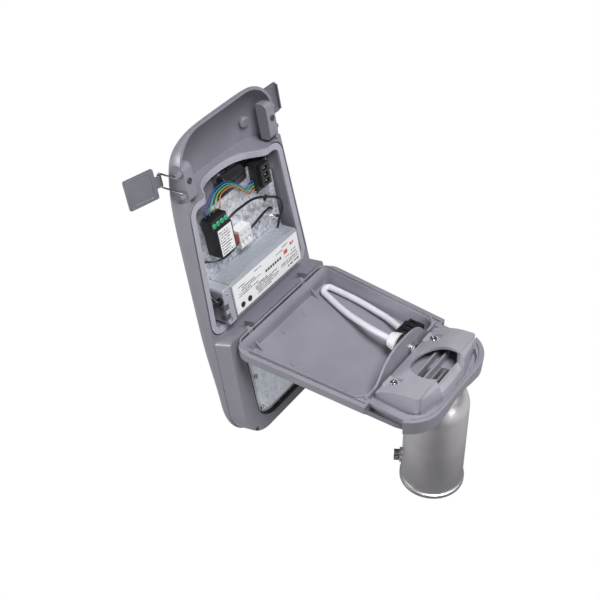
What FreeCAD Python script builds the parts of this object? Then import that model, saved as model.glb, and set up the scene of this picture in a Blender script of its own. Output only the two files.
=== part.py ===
import FreeCAD, Part
import math
import os

# Street light head, opened for service, in millimetres.
# The origin is the middle of the spigot's mouth, which drops over the pole top.
# +X runs from the hinge to the pole end, +Y across, +Z up.
# The lid is drawn closed and flat, then turned open about its hinge.

V = FreeCAD.Vector
X_AXIS = V(1, 0, 0)
Y_AXIS = V(0, 1, 0)
Z_AXIS = V(0, 0, 1)

# Opening of the lid, from closed to the service position
OPEN_ANGLE = 99.4

# Clearances
SEAT_GAP = 0.3
PIN_CLEARANCE = 0.08

# Spigot: the socket over a 76 mm pole
BORE_D = 78.0
BORE_DEPTH = 120.0
SPIGOT_WALL = 4.8
LIP_D = 92.0
LIP_H = 5.5
DOME_Z = 147.0
THROAT_R = 27.0
WEB_FOOT_Z = 172.0
SET_SCREW_BACK = 0.2
SET_SCREW_D = 8.0
SET_SCREW_LENGTH = 16.0
SET_SCREW_Z = (33.0, 45.0)
SET_SCREW_ANGLE = 212.0

# Tray: the fixed lower half
RIM_Z = 195.5
SEAL_LIP_H = 3.7
SEAL_LIP_T = 1.8
TRAY_HINGE_X = -262.5
TRAY_END_X = 33.0
TRAY_HALF_HINGE = 113.6
TRAY_HALF_END = 98.0
TRAY_HINGE_R = 24.0
TRAY_END_R = 52.0
ROOM_END_R = 20.0
END_SKIRT_DROP = 23.0
END_SKIRT_ARCH = ((-60, 170), (-52, 172.5), (-27, 177.5), (0, 184.5), (27, 177.5), (52, 172.5), (60, 170))
FLANGE_T = 3.6
GROOVE_DEPTH = 2.0
SKIRT_DROP = 13.0
SKIRT_T = 2.6
PAN_WALL = 3.0
PAN_FLOOR_Z = 170.0
PAN_DRAFT = 6.0
LIP_INSET = 8.5
BOSSES = ((-236.0, 26.0, 5.0), (-236.0, -22.0, 5.0), (-190.0, -66.0, 5.0), (-100.0, -66.0, 5.0))
BULKHEAD_X = -60.0
BULKHEAD_T = 3.0
ARCH_RISE = 36.0
ARCH_HALF = 68.0
NOTCH_X = (-52.0, 2.0)
NOTCH_DEPTH = 8.0
LEDGE_T = 5.5
WELL_FLOOR_Z = 188.0

# Saddle block over the spigot
BLOCK_HALF = 74.5
BLOCK_X = (-53.0, 11.5)
BLOCK_TOP = 223.5
BLOCK_WINDOW_R = 34.0
BLOCK_WINDOW_X = -6.0
BLOCK_BAND_T = 3.0
BLOCK_BAND_H = 17.0
THROAT_RIB_X = (-26.0, -14.0)
THROAT_RIB_TOP = 201.0
BLOCK_SHELL = 4.0
BLOCK_END_R = 5.0

# Lid: the long upper casting, measured from the seal corner along it (u) and down (n)
SEAL_X = -261.0
HOOD_END_U = 304.0
TIP_U = -184.0
LID_WALL = 3.2
LID_HALF = 114.5
LID_TAPER = 0.066
LED_TAPER = -0.03
HOOD_R = 44.0
TIP_R = 50.0
SHOULDER = 3.5
LED_DROP = 28.0
LED_INSET = 4.0
LED_RING = 25.0
LED_TIP_RING = 15.0
LED_RECESS = 8.0
LED_CORNER_R = 34.0
LED_BACK_U = -24.0
STEP_U = -3.5
STEP_FOOT_U = 1.6

# Compartment in the lid and its seal
SEAL_HALF = 111.3
SEAL_TAPER = 0.062
SEAL_W = 9.5
SEAL_T = 2.5
SEAL_TOP_U = 207.0
SEAL_R = 20.0
POCKET_DEPTH = 60.0
POST_R = 4.5

# Hinge
HINGE_DX = -13.5
HINGE_DZ = -17.0
HINGE_PIN_D = 5.0
KNUCKLE_R = 6.5
LUG_Y = (57.0, 70.0)
SWING_R = 20.2
HINGE_WALL = 1.7
PIN_Y = (48.0, 79.0)

# Latches on both sides of the hood
LATCH_U = 241.0
EAR_LENGTH = 54.0
EAR_W = 17.0
EAR_FACE_N = 2.0
BAIL_D = 2.4
BAIL_ARM = 37.0
BAIL_SPREAD = 21.0
BAIL_BEND_R = 2.2
BAIL_Y = 100.0
BAIL_N = -4.0
BAIL_LATCHED = 8.0
BAIL_OPEN = 183.0
FLAP_LATCHED = 176.0
LEFT_FLAP_OPEN = 108.0
RIGHT_FLAP_OPEN = 88.0
FLAP_LENGTH = 52.0
FLAP_WIDTH = 44.0
FLAP_T = 2.2
HOOK_AT = 21.0
HOOK_REACH = 10.6
EAR_U = 240.0

# Gear carried by the lid
PLATE_U = (12.0, 168.0)
PLATE_ARM = (44.0, 184.0)
PLATE_HALF = 89.0
PLATE_N = -24.0
PLATE_T = 1.5
PLATE_SCREWS = ((84, -79), (160, -79), (180, 81), (84, 79))
DRIVER_U = (10.9, 71.0)
DRIVER_Y = (-70.0, 82.0)
DRIVER_N = 14.0
DRIVER_BACK = -23.7
CANISTER_U = 184.0
CANISTER_N = -31.0
CANISTER_R = 9.0
CANISTER_Y = (-2.0, 40.0)
CANISTER_RIB_Y = (4.0, 32.0)
LED_PLATE_T = 2.0
LENS_T = 2.8
LENS_R = 5.5
LENS_TOP_R = 3.6
LENS_H = 3.0
LED_SCREWS = ((-85, -73.5), (-144, -73.5), (-85, 73.5), (-144, 73.5))
TIP_SCREW = (-166.0, -97.0)
SCREW_R = 1.9
EAR_SCREW_Y = 88.0

# Cable gland and inlet cable
GLAND_Y = 23.0
GLAND_Z = 199.0
INLET_D = 9.5
INLET_PATH = ((-55.0, 23.0, 199.0), (-112.0, 23.0, 199.0), (-186.0, 53.0, 177.0), (-241.0, 74.0, 175.6),
              (-241.0, 88.0, 175.6), (-188.0, 87.0, 175.6), (-128.0, 76.0, 178.0), (-100.7, 63.2, 183.5))

# Wires in the lid, in lid coordinates
WIRE_D = 2.0
LOOP_D = 3.6
LEAD_D = 5.0
GROMMET = (54.0, -87.5, 6.0)
LINK_BLACK = ((94.0, -12.4, -15.0), (92.0, -22.0, -14.0), (89.0, -38.0, -15.0), (93.0, -58.0, -17.0),
              (103.0, -76.0, -19.0), (105.0, -84.0, -22.0))
LINK_WHITE = ((98.0, -12.4, -15.0), (95.5, -22.0, -13.4), (92.0, -38.0, -12.6), (96.0, -62.0, -14.0),
              (106.5, -76.0, -17.0), (108.5, -84.0, -22.0))
LOOP_PATH = ((140.0, -27.2, -14.0), (146.0, -8.0, -11.5), (145.0, 34.0, -10.0), (131.0, 62.0, -8.5),
             (117.0, 84.0, -9.5), (96.0, 90.0, -11.0), (84.0, 80.0, -12.0), (72.1, 72.0, -12.0))
BRANCH_PATH = ((100.0, 14.7, -15.0), (105.0, 32.0, -14.0), (109.0, 54.0, -14.5), (107.0, 70.0, -17.0),
               (98.0, 78.0, -22.0))
LEAD_PATH = ((54.0, -87.9, 6.0), (54.0, -93.9, 5.9), (64.0, -94.0, -9.0), (78.0, -93.2, -22.0), (88.0, -92.7, -34.0))

SEAL_Z = RIM_Z + SEAL_LIP_H + SEAT_GAP
HINGE_X = SEAL_X + HINGE_DX
HINGE_Z = SEAL_Z + HINGE_DZ
BULKHEAD_U = BULKHEAD_X - SEAL_X
SKIRT_Z = RIM_Z - SKIRT_DROP
SPIGOT_R = BORE_D / 2 + SPIGOT_WALL

# Crown of the lid's back: place along the lid and height over the seal plane
CROWN = (
    (HOOD_END_U, 5), (HOOD_END_U - 4, 12), (HOOD_END_U - 16, 24), (HOOD_END_U - 36, 37), (240, 48),
    (200, 55.5), (127, 54.5), (63, 50), (8, 46), (-40, 42), (-93, 33), (-143, 24),
    (TIP_U + 21, 16), (TIP_U + 7, 9), (TIP_U, 3),
)


def line(a, b):
    return Part.LineSegment(a, b).toShape()


def arc(a, b, c):
    return Part.Arc(a, b, c).toShape()


def rounded(points, radii, place):
    """Closed wire through 2D corners, each rounded by its radius; place(x, y) gives the 3D point."""
    count = len(points)
    corners = []
    for i in range(count):
        p = V(points[i][0], points[i][1], 0)
        a = V(points[i - 1][0], points[i - 1][1], 0).sub(p)
        b = V(points[(i + 1) % count][0], points[(i + 1) % count][1], 0).sub(p)
        a.normalize()
        b.normalize()
        half = a.getAngle(b) / 2
        cut = radii[i] / math.tan(half)
        bisector = a.add(b)
        bisector.normalize()
        middle = p.add(bisector.multiply(radii[i] / math.sin(half) - radii[i]))
        corners.append((p.add(a.multiply(cut)), middle, p.add(b.multiply(cut))))
    edges = []
    for i in range(count):
        start, middle, end = (place(q.x, q.y) for q in corners[i])
        following = corners[(i + 1) % count][0]
        edges.append(arc(start, middle, end))
        edges.append(line(end, place(following.x, following.y)))
    return Part.Wire(edges)


def flat(z):
    return lambda x, y: V(x, y, z)


def side(y):
    return lambda x, z: V(x, y, z)


def prism(wire, direction):
    return Part.Face(wire).extrude(direction)


def drafted(lower, upper):
    return Part.makeLoft([lower, upper], True, True)


def block(x0, x1, y0, y1, z0, z1):
    return Part.makeBox(x1 - x0, y1 - y0, z1 - z0, V(x0, y0, z0))


def lid_block(u0, u1, y0, y1, n0, n1):
    return block(SEAL_X + u0, SEAL_X + u1, y0, y1, SEAL_Z - n1, SEAL_Z - n0)


def lid(u, y, n):
    return V(SEAL_X + u, y, SEAL_Z - n)


def rod(a, b, radius):
    return Part.makeCylinder(radius, b.sub(a).Length, a, b.sub(a))


def fused(shapes):
    first = shapes[0]
    rest = shapes[1:]
    whole = first.fuse(rest) if rest else first
    return whole.removeSplitter()


def mirrored(shape):
    return shape.mirror(V(0, 0, 0), Y_AXIS)


def opened(shape):
    turned = shape.copy()
    turned.rotate(V(HINGE_X, 0, HINGE_Z), Y_AXIS, -OPEN_ANGLE)
    return turned


def pan_screw(place, direction, head_r, head_h, shank_r, shank_length):
    """Pan-head screw: place is under the head, direction points out of the head."""
    head = Part.makeCylinder(head_r, head_h, place, direction)
    top = [e for e in head.Edges if len(e.Vertexes) == 1 and e.CenterOfMass.sub(place).Length > head_h / 2]
    head = head.makeFillet(head_h * 0.45, top)
    shank = Part.makeCylinder(shank_r, shank_length, place, direction.negative())
    slot = Part.makeCylinder(head_r * 0.42, head_h * 0.5, place.add(V(direction).multiply(head_h * 0.6)), direction)
    return head.fuse(shank).cut(slot)


def tube_path(points):
    """Wire of straight runs joined by tangent arcs, each as large as its two runs allow."""
    pts = [V(*p) for p in points]
    edges = []
    start = pts[0]
    for i in range(1, len(pts) - 1):
        before = pts[i - 1].sub(pts[i])
        after = pts[i + 1].sub(pts[i])
        run = min(before.Length, after.Length)
        before.normalize()
        after.normalize()
        half = before.getAngle(after) / 2
        cut = 0.45 * run
        radius = cut * math.tan(half)
        bisector = before.add(after)
        bisector.normalize()
        first = pts[i].add(V(before).multiply(cut))
        last = pts[i].add(V(after).multiply(cut))
        middle = pts[i].add(bisector.multiply(radius / math.sin(half) - radius))
        edges.append(line(start, first))
        edges.append(arc(first, middle, last))
        start = last
    edges.append(line(start, pts[-1]))
    return Part.Wire(edges)


def tube(points, diameter):
    path = tube_path(points)
    start = path.Edges[0].Vertexes[0].Point
    tangent = path.Edges[0].tangentAt(path.Edges[0].FirstParameter)
    ring = Part.Wire([Part.Circle(start, tangent, diameter / 2).toShape()])
    return path.makePipeShell([ring], True, True)


# Plan outlines

def tray_half(x):
    share = (x - TRAY_HINGE_X) / (TRAY_END_X - TRAY_HINGE_X)
    return TRAY_HALF_HINGE + share * (TRAY_HALF_END - TRAY_HALF_HINGE)


def tray_outline(side_inset, hinge_inset, end_inset, z, x_end=None):
    x0 = TRAY_HINGE_X + hinge_inset
    x1 = (TRAY_END_X if x_end is None else x_end) - end_inset
    y0 = tray_half(x0) - side_inset
    y1 = tray_half(x1) - side_inset
    end_r = TRAY_END_R - side_inset * 0.8
    hinge_r = max(TRAY_HINGE_R - side_inset, 6.0)
    if x_end is not None:
        end_r = ROOM_END_R
    points = ((x0, -y0), (x1, -y1), (x1, y1), (x0, y0))
    return rounded(points, (hinge_r, end_r, end_r, hinge_r), flat(z))


def lid_half(u):
    if u >= 0:
        half = LID_HALF - LID_TAPER * u
    else:
        half = LID_HALF + LED_TAPER * u
    for end, radius in ((HOOD_END_U, HOOD_R), (TIP_U, TIP_R)):
        depth = abs(u - end)
        if depth < radius:
            half -= radius - math.sqrt(radius ** 2 - (radius - depth) ** 2)
    return half


def seal_half(u):
    return SEAL_HALF - SEAL_TAPER * u


def seal_outline(inset, n):
    u0 = inset
    u1 = SEAL_TOP_U - inset
    radius = SEAL_R - inset
    points = ((u0, -seal_half(u0) + inset), (u1, -seal_half(u1) + inset),
              (u1, seal_half(u1) - inset), (u0, seal_half(u0) - inset))
    return rounded(points, [radius] * 4, lambda u, y: lid(u, y, n))


def arch_face(x, base_z, rise, half):
    """Arch with eased feet across the luminaire, closed below by a straight line."""
    shape = ((1.0, 0.0), (0.9, 0.12), (0.72, 0.52), (0.5, 0.83), (0.25, 0.97), (0.0, 1.0))
    right = [V(x, half * a, base_z + rise * b) for a, b in shape]
    left = [V(x, -p.y, p.z) for p in reversed(right[:-1])]
    crest = Part.BSplineCurve()
    crest.interpolate(right + left)
    edge = crest.toShape()
    foot = [V(x, -half, base_z - 1), V(x, half, base_z - 1)]
    edges = [edge, line(left[-1], foot[0]), line(foot[0], foot[1]), line(foot[1], right[0])]
    return Part.Face(Part.Wire(edges))


# Lid form

def lid_section(u, inset, scale_u):
    height = dict(CROWN)[u] - inset
    half = lid_half(u) - inset
    place_u = (HOOD_END_U + TIP_U) / 2 + (u - (HOOD_END_U + TIP_U) / 2) * scale_u
    count = 16
    points = []
    for i in range(count + 1):
        angle = math.pi * i / count
        across = math.copysign(abs(math.cos(angle)) ** (2 / SHOULDER), math.cos(angle)) * half
        up = math.sin(angle) ** (2 / SHOULDER) * max(height, 1.2) if 0 < i < count else 0.0
        points.append(lid(place_u, across, -up))
    curve = Part.BSplineCurve()
    curve.interpolate(points)
    return Part.Wire([curve.toShape(), line(points[-1], points[0])])


def lid_form(inset):
    length = HOOD_END_U - TIP_U
    scale_u = (length - 2 * inset) / length
    sections = [lid_section(u, inset, scale_u) for u, _ in CROWN]
    return Part.makeLoft(sections, True, False)


def led_outline(inset, n, u1=STEP_FOOT_U):
    u0 = TIP_U + inset
    y1 = LID_HALF - inset
    y0 = LID_HALF + LED_TAPER * TIP_U - inset
    radii = (max(TIP_R - inset, 8), 6, 6, max(TIP_R - inset, 8))
    return rounded(((u0, -y0), (u1, -y1), (u1, y1), (u0, y0)), radii, lambda u, y: lid(u, y, n))


def led_window(grow, n):
    """Outline of the opening in the LED face, grown all round."""
    u0 = TIP_U + LED_INSET + LED_TIP_RING - grow
    u1 = LED_BACK_U + grow
    half = LID_HALF - LED_INSET - LED_RING + grow
    corner = LED_CORNER_R + grow
    back = max(7 + grow, 3)
    return rounded(((u0, -half), (u1, -half - 1), (u1, half + 1), (u0, half)), (corner, back, back, corner),
                   lambda u, y: lid(u, y, n))


def seal_dip(rise_extra):
    """Space taken by the bulkhead's arch where it enters the lid."""
    face = arch_face(SEAL_X + SEAL_TOP_U - 30, SEAL_Z, ARCH_RISE + rise_extra, ARCH_HALF + rise_extra)
    return face.extrude(V(HOOD_END_U, 0, 0))


def housing():
    body = lid_form(0)
    inner = lid_form(LID_WALL)
    led = drafted(led_outline(LED_INSET, LED_DROP), led_outline(0.6, -1, STEP_U))
    body = body.fuse(led)
    # hood: hollow behind the compartment's end wall
    hood = inner.common(lid_block(SEAL_TOP_U + 1.5, HOOD_END_U, -130, 130, -80, 1))
    body = body.cut(hood)
    # compartment
    pocket = prism(seal_outline(SEAL_W + 0.6, 1), V(0, 0, POCKET_DEPTH + 1))
    pocket = pocket.common(inner.fuse(lid_block(0, SEAL_TOP_U, -130, 130, 0, 1)))
    body = body.cut(pocket)
    within = lid_form(0.5)
    for u, y in PLATE_SCREWS:
        post = Part.makeCylinder(POST_R, POCKET_DEPTH, lid(u, y, PLATE_N - PLATE_T - SEAT_GAP), Z_AXIS)
        post = post.cut(Part.makeCylinder(SCREW_R + 0.1, 12, lid(u, y, PLATE_N), Z_AXIS))
        body = body.fuse(post.common(within))
    for y in CANISTER_RIB_Y:
        rib = lid_block(CANISTER_U - 8, CANISTER_U + 8, y, y + 2, -POCKET_DEPTH, CANISTER_N)
        rib = rib.cut(rod(lid(CANISTER_U, y - 1, CANISTER_N), lid(CANISTER_U, y + 3, CANISTER_N), CANISTER_R + SEAT_GAP))
        body = body.fuse(rib.common(within))
    # bed of the seal, its arch and the drip gap around it
    bed = prism(seal_outline(0, 1), V(0, 0, SEAL_T + 1))
    drip = prism(seal_outline(-1.6, 1), V(0, 0, 5)).cut(prism(seal_outline(-0.1, 2), V(0, 0, 8)))
    body = body.cut(bed).cut(drip)
    body = body.cut(seal_dip(SEAL_T).common(lid_block(SEAL_TOP_U - 30, SEAL_TOP_U + 4, -90, 90, -60, 1)))
    # LED recess and chamber
    recess = prism(led_window(0, LED_DROP + 1), V(0, 0, LED_RECESS + 1))
    chamber = prism(led_window(-5, LED_DROP), V(0, 0, 70)).common(
        inner.fuse(lid_block(TIP_U, STEP_U, -120, 120, 0, LED_DROP)))
    body = body.cut(recess).cut(chamber)
    # hinge: clearance for the tray's lugs and the pins' bores
    for sign in (-1, 1):
        low, high = sorted((sign * (LUG_Y[0] - 1), sign * (LUG_Y[1] + 1)))
        reach = KNUCKLE_R + 1.5
        body = body.cut(rod(V(HINGE_X, low, HINGE_Z), V(HINGE_X, high, HINGE_Z), reach))
        body = body.cut(lid_block(HINGE_DX, 20, low, high, -HINGE_DZ - reach, LED_DROP + 5))
        body = body.cut(lid_block(HINGE_DX - reach - 3.5, 20, low, high, -HINGE_DZ, LED_DROP + 5))
        pin_low, pin_high = sorted((sign * PIN_Y[0], sign * (PIN_Y[1])))
        bore = rod(V(HINGE_X, pin_low, HINGE_Z), V(HINGE_X, pin_high, HINGE_Z), HINGE_PIN_D / 2 + PIN_CLEARANCE)
        body = body.cut(bore)
        body = cut_latch_pocket(body, sign)
    for u, y, n in ((EAR_U + 4, EAR_SCREW_Y, EAR_FACE_N), (EAR_U + 4, -EAR_SCREW_Y, EAR_FACE_N),
                    (TIP_SCREW[0], TIP_SCREW[1], LED_DROP)):
        body = body.cut(Part.makeCylinder(SCREW_R + 0.1, 9, lid(u, y, n + 1), Z_AXIS))
    return body.removeSplitter()


def cut_latch_pocket(body, sign):
    u0 = EAR_U - EAR_LENGTH / 2
    u1 = EAR_U + EAR_LENGTH / 2
    ear = rounded(((u0, EAR_FACE_N), (u1, EAR_FACE_N), (u1, -16), (u0, -16)), (8, 8, 2, 2),
                  lambda u, n: lid(u, 0, n))
    y0 = BAIL_Y - 4.5 - EAR_W
    solid = prism(ear, V(0, EAR_W, 0))
    solid.translate(V(0, y0 if sign > 0 else -y0 - EAR_W, 0))
    body = body.fuse(solid)
    cheek = BAIL_Y - 4.5
    low, high = sorted((sign * (cheek - 3.5), sign * 125))
    lining = lid_block(u0 - 4, u1 + 4, low, high, -37, 0).common(lid_form(0))
    body = body.fuse(lining)
    low, high = sorted((sign * cheek, sign * 125))
    body = body.cut(lid_block(u0 - 0.5, u1 + 0.5, low, high, -34, 4))
    for end in (-1, 1):
        u = LATCH_U + end * (BAIL_SPREAD / 2 + 5.5)
        eye = rod(lid(u - 2, sign * BAIL_Y, BAIL_N), lid(u + 2, sign * BAIL_Y, BAIL_N), 3.3)
        low, high = sorted((sign * (cheek - 0.5), sign * BAIL_Y))
        foot = lid_block(u - 2, u + 2, low, high, BAIL_N - 3.3, BAIL_N + 3.3)
        hole = rod(lid(u - 3, sign * BAIL_Y, BAIL_N), lid(u + 3, sign * BAIL_Y, BAIL_N), BAIL_D / 2 + PIN_CLEARANCE)
        body = body.fuse(eye.fuse(foot)).cut(hole)
    return body


# Tray

def tray():
    skirt_out = drafted(tray_outline(0.8, 0.8, 0.8, SKIRT_Z), tray_outline(0, 0, 0, RIM_Z))
    skirt_in = drafted(tray_outline(SKIRT_T + 0.8, SKIRT_T + 0.8, SKIRT_T + 0.8, SKIRT_Z - 1),
                       tray_outline(SKIRT_T, SKIRT_T, SKIRT_T, RIM_Z - FLANGE_T))
    body = skirt_out.cut(skirt_in)
    body = body.fuse(end_skirt())
    belly_z = PAN_FLOOR_Z - PAN_WALL
    pan = drafted(tray_outline(LIP_INSET + PAN_DRAFT, PAN_DRAFT, 12, belly_z),
                  tray_outline(LIP_INSET, 0.4, 5.5, RIM_Z - 0.5))
    body = body.fuse(pan)
    room = drafted(tray_outline(LIP_INSET + PAN_DRAFT + PAN_WALL, PAN_DRAFT + PAN_WALL, 0, PAN_FLOOR_Z, BULKHEAD_X),
                   tray_outline(LIP_INSET + PAN_WALL, PAN_WALL - 1, 0, RIM_Z + 1, BULKHEAD_X))
    body = body.cut(room.cut(swing_space(SWING_R + HINGE_WALL)))
    well = drafted(tray_outline(20, 0, 8.6, WELL_FLOOR_Z), tray_outline(18, 0, 7.2, RIM_Z + 1))
    well = well.common(block(BULKHEAD_X + BULKHEAD_T, 60, -120, 120, WELL_FLOOR_Z, RIM_Z + 2))
    body = body.cut(well)
    # seal lip round the compartment
    lip = prism(tray_outline(LIP_INSET, 0, 0, RIM_Z - 1, BULKHEAD_X + BULKHEAD_T), V(0, 0, SEAL_LIP_H + 1))
    lip = lip.cut(prism(tray_outline(LIP_INSET + SEAL_LIP_T, SEAL_LIP_T, BULKHEAD_T, RIM_Z - 2,
                                     BULKHEAD_X + BULKHEAD_T), V(0, 0, SEAL_LIP_H + 4)))
    body = body.fuse(lip)
    body = body.cut(swing_space(SWING_R))
    # bulkhead with its arch
    arch = arch_face(BULKHEAD_X, RIM_Z + SEAL_LIP_H, ARCH_RISE - SEAT_GAP, ARCH_HALF - 1)
    body = body.fuse(arch.extrude(V(BULKHEAD_T, 0, 0)))
    wall = block(BULKHEAD_X, BULKHEAD_X + BULKHEAD_T, -90, 90, PAN_FLOOR_Z - 1, RIM_Z + SEAL_LIP_H)
    body = body.fuse(wall)
    # lip round the pole end
    rim = prism(tray_outline(4.4, 0, 4.4, RIM_Z - 1), V(0, 0, 3.4)).cut(
        prism(tray_outline(6.6, 0, 6.6, RIM_Z - 2), V(0, 0, 8)))
    rim = rim.common(block(NOTCH_X[1] + 7, 60, -120, 120, RIM_Z - 3, RIM_Z + 5))
    body = body.fuse(rim)
    # belly opening for the dome
    body = body.cut(Part.makeSphere(SPIGOT_R + SEAT_GAP, V(0, 0, DOME_Z)))
    body = body.cut(Part.makeCylinder(SPIGOT_R + SEAT_GAP, DOME_Z, V(0, 0, 0), Z_AXIS))
    body = body.cut(Part.makeCylinder(THROAT_R, 30, V(0, 0, WELL_FLOOR_Z - 20), Z_AXIS))
    for x in THROAT_RIB_X:
        body = body.fuse(block(x - 1.6, x + 1.6, -48, 48, WELL_FLOOR_Z - 0.2, THROAT_RIB_TOP))
    groove = prism(tray_outline(LIP_INSET - 2.0, -2, 0, RIM_Z - GROOVE_DEPTH), V(0, 0, 5)).cut(
        prism(tray_outline(LIP_INSET, 0, 0, RIM_Z - 5), V(0, 0, 12)))
    groove = groove.common(block(TRAY_HINGE_X + TRAY_HINGE_R, NOTCH_X[0] - 3, -130, 130, RIM_Z - 5, RIM_Z + 5))
    body = body.cut(groove)
    body = body.cut(rod(V(BULKHEAD_X - 5, GLAND_Y, GLAND_Z), V(BULKHEAD_X + 8, GLAND_Y, GLAND_Z), INLET_D / 2 + 0.3))
    # latch notches with their ledges
    for sign in (-1, 1):
        body = cut_notch(body, sign)
    # gussets on the hinge wall
    for x, y, radius in BOSSES:
        boss = Part.makeCylinder(radius, PAN_WALL + 0.6, V(x, y, PAN_FLOOR_Z - PAN_WALL + 0.5), Z_AXIS)
        body = body.fuse(boss)
    for y in (-72, 62):
        gusset = Part.Face(Part.makePolygon([V(TRAY_HINGE_X + 5, y, RIM_Z - 4), V(TRAY_HINGE_X + 9, y, RIM_Z - 12),
                                             V(TRAY_HINGE_X + 24, y, PAN_FLOOR_Z - 1),
                                             V(TRAY_HINGE_X + 5, y, PAN_FLOOR_Z - 1),
                                             V(TRAY_HINGE_X + 5, y, RIM_Z - 4)]))
        body = body.fuse(gusset.extrude(V(0, 2.2, 0)).cut(swing_space(SWING_R + 0.6)))
    body = body.fuse(lugs())
    return body.removeSplitter()


def end_skirt():
    """Deeper skirt round the pole end, arched to clear the spigot's dome."""
    low_z = RIM_Z - END_SKIRT_DROP
    skirt = drafted(tray_outline(1.4, 0.8, 1.4, low_z), tray_outline(0, 0, 0, RIM_Z - 1))
    skirt = skirt.cut(drafted(tray_outline(SKIRT_T + 1.4, 4, SKIRT_T + 1.4, low_z - 1),
                              tray_outline(SKIRT_T, 4, SKIRT_T, RIM_Z)))
    skirt = skirt.common(block(NOTCH_X[1], TRAY_END_X + 5, -130, 130, low_z - 2, RIM_Z))
    crest = Part.BSplineCurve()
    crest.interpolate([V(NOTCH_X[1] - 5, y, z) for y, z in END_SKIRT_ARCH])
    ends = END_SKIRT_ARCH[0], END_SKIRT_ARCH[-1]
    feet = [V(NOTCH_X[1] - 5, ends[1][0], low_z - 10), V(NOTCH_X[1] - 5, ends[0][0], low_z - 10)]
    edges = [crest.toShape(), line(crest.value(crest.LastParameter), feet[0]), line(feet[0], feet[1]),
             line(feet[1], crest.value(crest.FirstParameter))]
    arch = Part.Face(Part.Wire(edges)).extrude(V(60, 0, 0))
    return skirt.cut(arch)


def swing_space(radius):
    """Space swept by the edge of the LED housing as the lid turns."""
    across = rod(V(HINGE_X, -130, HINGE_Z), V(HINGE_X, 130, HINGE_Z), radius)
    below = block(HINGE_X - 5, HINGE_X + radius, -130, 130, PAN_FLOOR_Z - 30, HINGE_Z)
    return across.fuse(below)


def cut_notch(body, sign):
    x0, x1 = NOTCH_X
    outer = TRAY_HALF_END + 30
    inner = tray_half(x1) - NOTCH_DEPTH
    low, high = sorted((sign * inner, sign * outer))
    body = body.cut(block(x0, x1, low, high, PAN_FLOOR_Z - 5, RIM_Z + 5))
    under = sorted((sign * (inner - 7), sign * outer))
    return body.cut(block(x0, x1, under[0], under[1], SKIRT_Z - 6, RIM_Z - LEDGE_T))


def lugs():
    shapes = []
    for sign in (-1, 1):
        low, high = sorted((sign * LUG_Y[0], sign * LUG_Y[1]))
        eye = rod(V(HINGE_X, low, HINGE_Z), V(HINGE_X, high, HINGE_Z), KNUCKLE_R)
        arm = block(HINGE_X, HINGE_X + SWING_R + 1, low, high, HINGE_Z - KNUCKLE_R, HINGE_Z + 3.0)
        hole = rod(V(HINGE_X, low - 1, HINGE_Z), V(HINGE_X, high + 1, HINGE_Z), HINGE_PIN_D / 2)
        shapes.append(eye.fuse(arm).cut(hole))
    return shapes


def hinge_pins():
    pins = []
    for sign in (-1, 1):
        low, high = sorted((sign * (PIN_Y[0] + 0.6), sign * (PIN_Y[1] - 0.6)))
        pins.append(rod(V(HINGE_X, low, HINGE_Z), V(HINGE_X, high, HINGE_Z), HINGE_PIN_D / 2))
    return Part.makeCompound(pins)


# Spigot

def spigot():
    outer_r = SPIGOT_R
    dome_top = V(0, 0, DOME_Z + outer_r)
    dome_mid = V(outer_r * math.cos(math.pi / 4), 0, DOME_Z + outer_r * math.sin(math.pi / 4))
    profile = [
        line(V(0, 0, 0), V(LIP_D / 2, 0, 0)),
        line(V(LIP_D / 2, 0, 0), V(LIP_D / 2, 0, LIP_H)),
        line(V(LIP_D / 2, 0, LIP_H), V(outer_r, 0, LIP_H + 1.5)),
        line(V(outer_r, 0, LIP_H + 1.5), V(outer_r, 0, DOME_Z)),
        arc(V(outer_r, 0, DOME_Z), dome_mid, dome_top),
        line(dome_top, V(0, 0, 0)),
    ]
    body = Part.Face(Part.Wire(profile)).revolve(V(0, 0, 0), Z_AXIS, 360)
    bore = Part.makeCylinder(BORE_D / 2, BORE_DEPTH, V(0, 0, 0), Z_AXIS)
    body = body.cut(bore)
    throat = Part.makeCylinder(THROAT_R, 90, V(0, 0, BORE_DEPTH - 1), Z_AXIS)
    body = body.cut(throat)
    body = body.cut(block(-60, 60, -60, 60, WELL_FLOOR_Z - SEAT_GAP, 260))
    # webs across the throat that carry the cable clamp
    for x, low in ((-12.0, 150.0), (-4.0, 150.0)):
        web = block(x - 1.6, x + 1.6, -THROAT_R - 1, THROAT_R + 1, low, WELL_FLOOR_Z - SEAT_GAP)
        keep = Part.makeCylinder(THROAT_R - 0.6, 90, V(0, 0, BORE_DEPTH), Z_AXIS)
        keep = keep.fuse(Part.makeCylinder(THROAT_R + 0.5, WEB_FOOT_Z - BORE_DEPTH, V(0, 0, BORE_DEPTH), Z_AXIS))
        body = body.fuse(web.common(keep))
    for z in SET_SCREW_Z:
        angle = math.radians(SET_SCREW_ANGLE)
        out = V(math.cos(angle), math.sin(angle), 0)
        pad = Part.makeCylinder(SET_SCREW_D * 0.85, SPIGOT_WALL + 2.5, V(out).multiply(BORE_D / 2 + 0.8).add(V(0, 0, z)), out)
        body = body.fuse(pad.cut(bore))
        body = body.cut(Part.makeCylinder(SET_SCREW_D / 2, 30, V(out).multiply(BORE_D / 2 - 5).add(V(0, 0, z)), out))
    return body.removeSplitter()


def set_screws():
    screws = []
    angle = math.radians(SET_SCREW_ANGLE)
    out = V(math.cos(angle), math.sin(angle), 0)
    for z in SET_SCREW_Z:
        start = V(out).multiply(BORE_D / 2 + SET_SCREW_BACK).add(V(0, 0, z))
        shank = Part.makeCylinder(SET_SCREW_D / 2, SET_SCREW_LENGTH, start, out)
        socket = Part.makeCylinder(SET_SCREW_D / 4, 4, start.add(V(out).multiply(SET_SCREW_LENGTH - 4)), out)
        screws.append(shank.cut(socket))
    return Part.makeCompound(screws)


# Saddle block

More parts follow.
